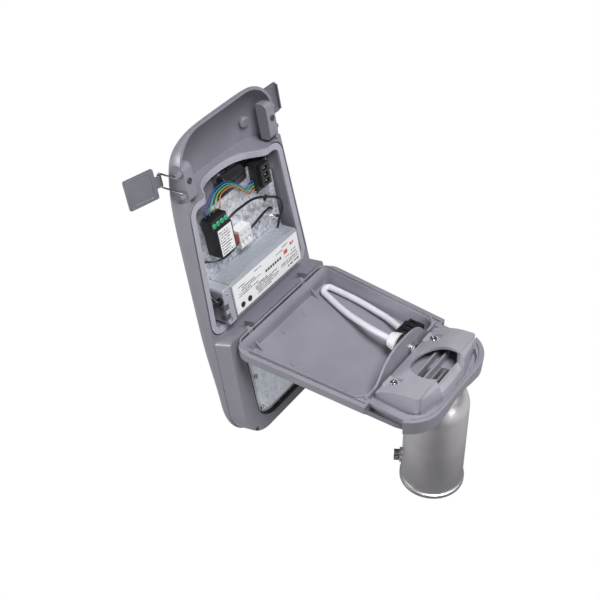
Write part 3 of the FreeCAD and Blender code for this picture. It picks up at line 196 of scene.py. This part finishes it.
PRINT = surface("print_ink", (0.05, 0.05, 0.06), 0.6, 0.0, 0.05, 60)
RED_PRINT = surface("red_ink", (0.60, 0.10, 0.08), 0.6, 0.0, 0.05, 60)
SLEEVE = surface("white_sleeve", (0.66, 0.66, 0.72), 0.5, 0.0, 0.04, 60)
GREY_SLEEVE = surface("grey_sleeve", (0.09, 0.09, 0.10), 0.4, 0.0, 0.08, 60)
LENS_TONES = ((0.0, (0.60, 0.62, 0.68, 1)), (0.55, (0.80, 0.83, 0.89, 1)), (1.0, (0.90, 0.92, 0.98, 1)))
LENS = spangle("clear_lens", 260, LENS_TONES, 0.1)
CHIP = surface("lens_core", (0.85, 0.87, 0.90), 0.15, 0.0, 0.04, 60, 0.0, 900, 0.6)
# Painted light: a faint bluish glow on the lenses and their cores, which are no lamp, makes them look
# brighter
for painted_glow_material in (LENS, CHIP):
    shader = painted_glow_material.node_tree.nodes["Principled BSDF"]
    shader.inputs["Emission Color"].default_value = (0.80, 0.86, 0.95, 1)
    shader.inputs["Emission Strength"].default_value = 0.20
PLATE = surface("led_board", (0.78, 0.78, 0.83), 0.4, 0.2, 0.04, 50)
SLEEVE_BLACK = surface("black_sleeve", (0.012, 0.012, 0.014), 0.32, 0.0, 0.15, 60)
WIRES = {
    "wire_blue": surface("wire_blue_sleeve", (0.02, 0.06, 0.22), 0.3, 0.0, 0.08, 60),
    "wire_teal": surface("wire_teal_sleeve", (0.02, 0.24, 0.30), 0.3, 0.0, 0.08, 60),
    "wire_earth": surface("wire_earth_sleeve", (0.16, 0.30, 0.05), 0.3, 0.0, 0.08, 60),
    "wire_orange": surface("wire_orange_sleeve", (0.42, 0.13, 0.07), 0.3, 0.0, 0.08, 60),
}

LOOKS = {
    "spigot": CAST, "set_screws": STEEL, "tray": TRAY_PAINT, "hinge_pins": STEEL,
    "saddle_block": BLOCK, "saddle_screws": STEEL, "cable_gland": WHITE, "gland_nut": WHITE,
    "gland_clamp": DARK_STEEL, "gland_ring": STEEL, "inlet_cable": SLEEVE,
    "base_connector": BLACK, "connector_contacts": STEEL,
    "housing": HOUSING, "seal_gasket": SEAL, "gear_plate": ZINC, "plate_screws": STEEL,
    "driver_case": DRIVER, "driver_label": LABEL, "driver_end_cap": CAP, "driver_plugs": GREY,
    "surge_block": BLACK, "surge_terminals": BLACK, "wire_block": WHITE,
    "surge_canister": BLACK, "disconnect_socket": BLACK, "lead_grommet": BLACK,
    "driver_lead": SLEEVE_BLACK, "link_black": SLEEVE_BLACK, "link_white": GREY_SLEEVE,
    "loop_cable": SLEEVE_BLACK, "branch_cable": SLEEVE_BLACK, **WIRES,
    "led_plate": PLATE, "lens_array": LENS, "led_screws": STEEL, "tip_screw": DARK_STEEL,
    "ear_screws": DARK_STEEL, "left_bail": WIRE, "right_bail": WIRE,
    "left_flap": FLAP, "right_flap": FLAP,
}


def paint(obj, material):
    obj.data.materials.clear()
    obj.data.materials.append(material)


for name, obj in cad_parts.items():
    paint(obj, LOOKS[name])


# Lid coordinates: u along the lid from the seal corner, n out of its open face, in millimetres

HINGE = (-0.2745, 0.1825)
SEAL_CORNER = (13.5, 17.0)
OPEN = math.radians(99.4)


def lid(u, y, n):
    along = SEAL_CORNER[0] + u
    down = SEAL_CORNER[1] - n
    x = along * math.cos(OPEN) - down * math.sin(OPEN)
    z = along * math.sin(OPEN) + down * math.cos(OPEN)
    return Vector((HINGE[0] + x * 0.001, y * 0.001, HINGE[1] + z * 0.001))


def piece(name, verts, faces, material, body="lid"):
    mesh = bpy.data.meshes.new(name)
    mesh.from_pydata([tuple(v) for v in verts], [], faces)
    mesh.validate()
    obj = bpy.data.objects.new(name, mesh)
    bpy.context.scene.collection.objects.link(obj)
    obj.data.materials.append(material)
    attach(obj, body)
    return obj


BOX_FACES = ((0, 1, 3, 2), (4, 6, 7, 5), (0, 4, 5, 1), (2, 3, 7, 6), (0, 2, 6, 4), (1, 5, 7, 3))


def boxes(name, spans, material):
    """One piece made of boxes, each given as u, y and n spans in lid coordinates."""
    verts = []
    faces = []
    for u0, u1, y0, y1, n0, n1 in spans:
        start = len(verts)
        verts += [lid(u, y, n) for u in (u0, u1) for y in (y0, y1) for n in (n0, n1)]
        faces += [tuple(start + i for i in face) for face in BOX_FACES]
    return piece(name, verts, faces, material)


def turned_faces(start, rings, sides):
    """Side and end faces of a turned form whose rings of points begin at start."""
    faces = []
    for ring in range(rings - 1):
        for k in range(sides):
            a = start + ring * sides + k
            b = start + ring * sides + (k + 1) % sides
            faces.append((a, b, b + sides, a + sides))
    faces.append(tuple(start + (rings - 1) * sides + k for k in range(sides)))
    faces.append(tuple(start + k for k in reversed(range(sides))))
    return faces


def discs(name, centres, levels, material, sides=20):
    """One piece made of turned studs: levels lists radius and height over each centre."""
    verts = []
    faces = []
    for u, y, n in centres:
        faces += turned_faces(len(verts), len(levels), sides)
        for radius, height in levels:
            for k in range(sides):
                angle = math.tau * k / sides
                verts.append(lid(u + radius * math.cos(angle), y + radius * math.sin(angle), n + height))
    return piece(name, verts, faces, material)


def rod(name, start, end, radius, material, sides=32):
    """One round boss between two points in lid coordinates, with a softened free end."""
    foot = lid(*start)
    tip = lid(*end)
    axis = (tip - foot).normalized()
    side = axis.orthogonal().normalized()
    other = axis.cross(side)
    length = (tip - foot).length
    soft = 0.0016
    crown = 0.0005
    levels = ((0.0, radius), (length - soft, radius),
              (length - crown, radius - crown), (length, radius - soft))
    verts = []
    for along, reach in levels:
        for k in range(sides):
            angle = math.tau * k / sides
            verts.append(foot + axis * along + (side * math.cos(angle) + other * math.sin(angle)) * reach)
    return piece(name, verts, turned_faces(0, len(levels), sides), material)


def text_row(u, y0, y1, n, height, seed):
    """Short dashes of uneven width that read as a line of small print."""
    spans = []
    y = y0
    step = seed
    while y < y1:
        step = (step * 7 + 3) % 11
        width = height * (0.35 + 0.12 * step)
        if y + width > y1:
            break
        spans.append((u, u + height, y, y + width, n, n + 0.06))
        y += width + height * (0.35 if step % 4 else 1.0)
    return spans


# Skirt under the end wall of the saddle block, in metres

END_WALL_X = 0.0117
WALL_TOP_Z = 0.2222
BAND_TOP_Z = 0.2048
BAND_HALF = 0.0290
APRON_HALF = 0.0695
APRON_BOW = 0.0128
APRON_BOW_SPAN = 0.142
APRON_FOOT_Z = 0.1884
APRON_SHOULDER_DROP = 0.006
APRON_SHOULDER_REACH = 0.55
APRON_STEPS = 40


def apron():
    """Bowed skirt from the end wall of the saddle block down to the well floor."""
    verts = []
    faces = []
    for k in range(APRON_STEPS + 1):
        y = -APRON_HALF + 2 * APRON_HALF * k / APRON_STEPS
        bow = APRON_BOW * math.cos(math.pi * y / APRON_BOW_SPAN)
        top = BAND_TOP_Z if abs(y) < BAND_HALF else WALL_TOP_Z
        verts.append((END_WALL_X, y, top))
        verts.append((END_WALL_X + bow * APRON_SHOULDER_REACH, y, top - APRON_SHOULDER_DROP))
        verts.append((END_WALL_X + bow, y, APRON_FOOT_Z))
    for k in range(APRON_STEPS):
        for row in range(2):
            a = k * 3 + row
            faces.append((a, a + 3, a + 4, a + 1))
    return piece("saddle_apron", verts, faces, BLOCK, "base")


apron()


# Driver: rows of print give u and the span in y, larger ones also their height and seed

LABEL_N = 13.92
SMALL_PRINT_H = 1.6
SMALL_PRINT = (
    (60.5, -20, -2), (60.5, 44, 60), (56.5, -58, -40), (56.5, 30, 46), (52.5, -50, -20), (49.0, -52, -8),
    (45.5, -58, -30), (42.0, -60, -14), (38.5, -20, 4), (36.0, -24, 26), (33.0, -24, 20), (30.0, -22, 30),
    (27.0, -20, 26), (24.0, -22, 10), (44.0, 62, 76), (39.0, 60, 76), (34.0, 36, 76), (30.5, 36, 76),
)
LARGE_PRINT = ((45.0, 2, 42, 4.2, 5), (24.0, 50, 78, 3.0, 8))
RED_LINES = ((54.0, 62, 74, 4.6, 2), (47.5, 46, 58, 6.0, 4), (41.0, 46, 58, 1.4, 3))
KNOBS = ((28.5, -55, 13.6), (28.5, -39.5, 13.6))
KNOB_LEVELS = ((4.2, 0), (4.2, 1.2), (3.4, 1.6), (2.9, 0.9), (0.4, 0.8))
CAP_SCREWS = ((62.0, -79.0, 11.9), (20.0, -80.5, 11.9), (13.5, -76.0, 11.9))
CAP_SCREW_LEVELS = ((2.0, 0), (2.0, 0.9), (1.5, 1.3))


def print_lines(name, lines, ink):
    spans = []
    for u, y0, y1, height, seed in lines:
        spans += text_row(u, y0, y1, LABEL_N, height, seed)
    return boxes(name, spans, ink)


small_lines = [row + (SMALL_PRINT_H, i + 1) for i, row in enumerate(SMALL_PRINT)]
print_lines("label_small_print", small_lines, PRINT)
print_lines("label_large_print", LARGE_PRINT, PRINT)
print_lines("label_red_print", RED_LINES, RED_PRINT)
discs("driver_knobs", KNOBS, KNOB_LEVELS, BLACK, 32)


# Surge protector, its terminals, and the small contacts of the disconnect socket

SURGE_LABEL = (106.5, 147.5, -58.5, -30.5, 0.12, 0.3)
SURGE_PRINT_N = 0.32
SURGE_PRINT_H = 1.7
SURGE_LINES = 9
SURGE_FIRST_U = 109.0
SURGE_LINE_PITCH = 4.1
TERMINALS = tuple((158.0, -62.0 + 8 * i, -5.8) for i in range(4))
TERMINAL_LEVELS = ((2.3, 0), (2.3, 4.9), (3.6, 5.0), (3.6, 6.4), (3.2, 6.8))
SLOT_HALF_W = 0.4
SLOT_HALF_L = 2.4
SLOT_N = (0.95, 1.1)
CONTACTS = tuple((158.4 + 10 * i, 159.8 + 10 * i, 59, 62.5, -8.6, -5.4) for i in range(3))


def surge_details():
    boxes("surge_label", (SURGE_LABEL,), LABEL)
    rows = []
    for i in range(SURGE_LINES):
        u = SURGE_FIRST_U + SURGE_LINE_PITCH * i
        rows += text_row(u, -56.5, -33.0 - (i * 5) % 7, SURGE_PRINT_N, SURGE_PRINT_H, i + 2)
    boxes("surge_print", rows, PRINT)
    discs("terminal_screws", TERMINALS, TERMINAL_LEVELS, GREEN)
    slots = []
    for u, y, _ in TERMINALS:
        slots.append((u - SLOT_HALF_W, u + SLOT_HALF_W, y - SLOT_HALF_L, y + SLOT_HALF_L) + SLOT_N)
    boxes("terminal_slots", slots, BLACK)


surge_details()
discs("cap_screws", CAP_SCREWS, CAP_SCREW_LEVELS, STEEL)
boxes("disconnect_contacts", CONTACTS, STEEL)


# Round boss inside the hood: its foot lies in the wall, its tip stands clear

rod("hood_boss", (240.2, 73.1, -39.6), (238.5, 71.0, -33.2), 0.0080, HOUSING)


# LED end: the opening in the casting, the small lenses and a black band of painted shade round the plate

LED_TIP_U = -165.0
LED_BACK_U = -24.0
LED_HALF = 85.5
LED_CORNER_R = 34.0
LED_BACK_CORNER_R = 7.0
LED_RIM_N = 27.8
LED_PLATE_N = 22.05
LENS_FIRST_U = -56.0
LENS_PITCH_U = 20
LENS_PITCH_Y = 17
LENS_FIRST_Y = -59.5
LENS_LAST_U = -147.5
LENS_CORNER_R = 16
LENS_TIP_N = 27.35
CORE_LEVELS = ((2.6, 0), (2.2, 0.4), (1.2, 0.6))
# Spans of the black band of painted shade round the LED plate, which stands in for the shaded recess wall
# and is no part
SHADE_BAND_OUT = 0.6
SHADE_BAND_RIM_IN = 1.4
SHADE_BAND_FOOT_IN = 3.2


def lens_places():
    """The spots of the small lenses that fit inside the rounded LED window."""
    for i in range(6):
        for j in range(8):
            u = LENS_FIRST_U - LENS_PITCH_U * i
            y = LENS_FIRST_Y + LENS_PITCH_Y * j
            in_u = max(LED_TIP_U + LED_CORNER_R - u, 0)
            in_y = max(abs(y) - LED_HALF + LED_CORNER_R, 0)
            if u > LENS_LAST_U and math.hypot(in_u, in_y) < LENS_CORNER_R:
                yield u, y, LENS_TIP_N


def window_loop(inset, n, steps=12):
    """Closed run of points round the LED opening, drawn in by inset."""
    tip = LED_TIP_U + inset
    back = LED_BACK_U - inset
    half = LED_HALF - inset
    corners = ((back, half + 1, LED_BACK_CORNER_R), (tip, half, LED_CORNER_R),
               (tip, -half, LED_CORNER_R), (back, -half - 1, LED_BACK_CORNER_R))
    points = []
    for turn, (u, y, radius) in enumerate(corners):
        reach = radius - inset
        mid_u = u - reach if u == back else u + reach
        mid_y = y - math.copysign(reach, y)
        for k in range(steps + 1):
            angle = math.radians(90 * turn + 90 * k / steps)
            points.append(lid(mid_u + reach * math.cos(angle), mid_y + reach * math.sin(angle), n))
    return points


def led_recess_shade():
    """Black band of painted shade that fills the step between the LED plate and the casting, where the
    recess wall lies in deep shade.
    """
    loops = (window_loop(SHADE_BAND_OUT, LED_PLATE_N), window_loop(SHADE_BAND_OUT, LED_RIM_N),
             window_loop(SHADE_BAND_RIM_IN, LED_RIM_N), window_loop(SHADE_BAND_FOOT_IN, LED_PLATE_N))
    count = len(loops[0])
    verts = [point for loop in loops for point in loop]
    faces = []
    for row in range(len(loops)):
        below = row * count
        above = (row + 1) % len(loops) * count
        for k in range(count):
            after = (k + 1) % count
            faces.append((below + k, below + after, above + after, above + k))
    return piece("led_recess_shade", verts, faces, BLACK)


discs("lens_cores", tuple(lens_places()), CORE_LEVELS, CHIP, 24)
led_recess_shade()


# Coloured end of the wire block

WIRE_BLOCK_END = (98, 112, -13.6, -12.1, -21, -9.5)
boxes("wire_block_end", (WIRE_BLOCK_END,), RED)


# Floor and light

FLOOR_REACH = 8.0
FLOOR_GAP = 0.0005
AMBIENT = 0.09


def white_to_camera(tree, shader_output, sink, mirrored=None):
    """Plain white where seen directly, its own brightness in mirrors, and itself to all other light."""
    path = tree.nodes.new("ShaderNodeLightPath")
    either = tree.nodes.new("ShaderNodeMath")
    either.operation = "MAXIMUM"
    tree.links.new(path.outputs["Is Camera Ray"], either.inputs[0])
    tree.links.new(path.outputs["Is Transmission Ray"], either.inputs[1])
    mix = tree.nodes.new("ShaderNodeMixShader")
    tree.links.new(either.outputs[0], mix.inputs["Fac"])
    tree.links.new(shader_output, mix.inputs[1])
    glow = tree.nodes.new("ShaderNodeEmission")
    glow.inputs["Color"].default_value = (1, 1, 1, 1)
    glow.inputs["Strength"].default_value = 1.0
    tree.links.new(glow.outputs[0], mix.inputs[2])
    if mirrored is None:
        tree.links.new(mix.outputs[0], sink)
        return
    soft = tree.nodes.new("ShaderNodeEmission")
    tree.links.new(mirrored, soft.inputs["Strength"])
    seen = tree.nodes.new("ShaderNodeMixShader")
    tree.links.new(path.outputs["Is Glossy Ray"], seen.inputs["Fac"])
    tree.links.new(mix.outputs[0], seen.inputs[1])
    tree.links.new(soft.outputs[0], seen.inputs[2])
    tree.links.new(seen.outputs[0], sink)


def table_glow(tree):
    """Painted reflection: how bright polished parts see the table, dark under the camera where the
    object's shadow would lie, bright to both sides.
    """
    place = tree.nodes.new("ShaderNodeNewGeometry")
    across = tree.nodes.new("ShaderNodeVectorMath")
    across.operation = "DOT_PRODUCT"
    across.inputs[1].default_value = (math.cos(AZIMUTH), math.sin(AZIMUTH), 0)
    tree.links.new(place.outputs["Position"], across.inputs[0])
    spread = tree.nodes.new("ShaderNodeMath")
    spread.operation = "ABSOLUTE"
    tree.links.new(across.outputs["Value"], spread.inputs[0])
    glow = tree.nodes.new("ShaderNodeMapRange")
    glow.inputs["From Min"].default_value = 0.03
    glow.inputs["From Max"].default_value = 0.24
    glow.inputs["To Min"].default_value = 0.14
    glow.inputs["To Max"].default_value = 0.72
    tree.links.new(spread.outputs[0], glow.inputs["Value"])
    return glow.outputs["Result"]


def floor():
    mesh = bpy.data.meshes.new("floor")
    z = low[2] - FLOOR_GAP
    corners = [(x * FLOOR_REACH, y * FLOOR_REACH, z) for x, y in ((-1, -1), (1, -1), (1, 1), (-1, 1))]
    mesh.from_pydata(corners, [], [(0, 1, 2, 3)])
    plane = bpy.data.objects.new("floor", mesh)
    bpy.context.scene.collection.objects.link(plane)
    material, tree, shader = new_material("floor")
    shader.inputs["Base Color"].default_value = (0.10, 0.10, 0.11, 1)
    shader.inputs["Roughness"].default_value = 0.9
    sink = tree.nodes["Material Output"].inputs["Surface"]
    white_to_camera(tree, shader.outputs[0], sink, table_glow(tree))
    plane.data.materials.append(material)
    plane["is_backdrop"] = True


def sky():
    world = bpy.data.worlds.new("studio")
    bpy.context.scene.world = world
    world.use_nodes = True
    tree = world.node_tree
    ambient = tree.nodes["Background"]
    ambient.inputs["Color"].default_value = (1, 1, 1, 1)
    ambient.inputs["Strength"].default_value = AMBIENT
    white_to_camera(tree, ambient.outputs[0], tree.nodes["World Output"].inputs["Surface"])


floor()
sky()


AIM = Vector((-0.15, 0.0, 0.22))


def area_light(name, place, size, power):
    data = bpy.data.lights.new(name, "AREA")
    data.shape = "DISK"
    data.size = size
    data.energy = power
    lamp = bpy.data.objects.new(name, data)
    bpy.context.scene.collection.objects.link(lamp)
    lamp.location = place
    direction = AIM - Vector(place)
    lamp.rotation_euler = direction.to_track_quat("-Z", "Y").to_euler()


area_light("top", (0.75, -0.5, 2.3), 1.0, 64)
area_light("left", (-1.6, -1.8, 0.6), 1.0, 31)
area_light("right", (1.9, 0.5, 1.7), 1.3, 7)
area_light("gleam", (2.0, -0.42, 0.25), 0.6, 5)

photo_camera()
bpy.context.scene.view_settings.view_transform = "Standard"

low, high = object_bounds()
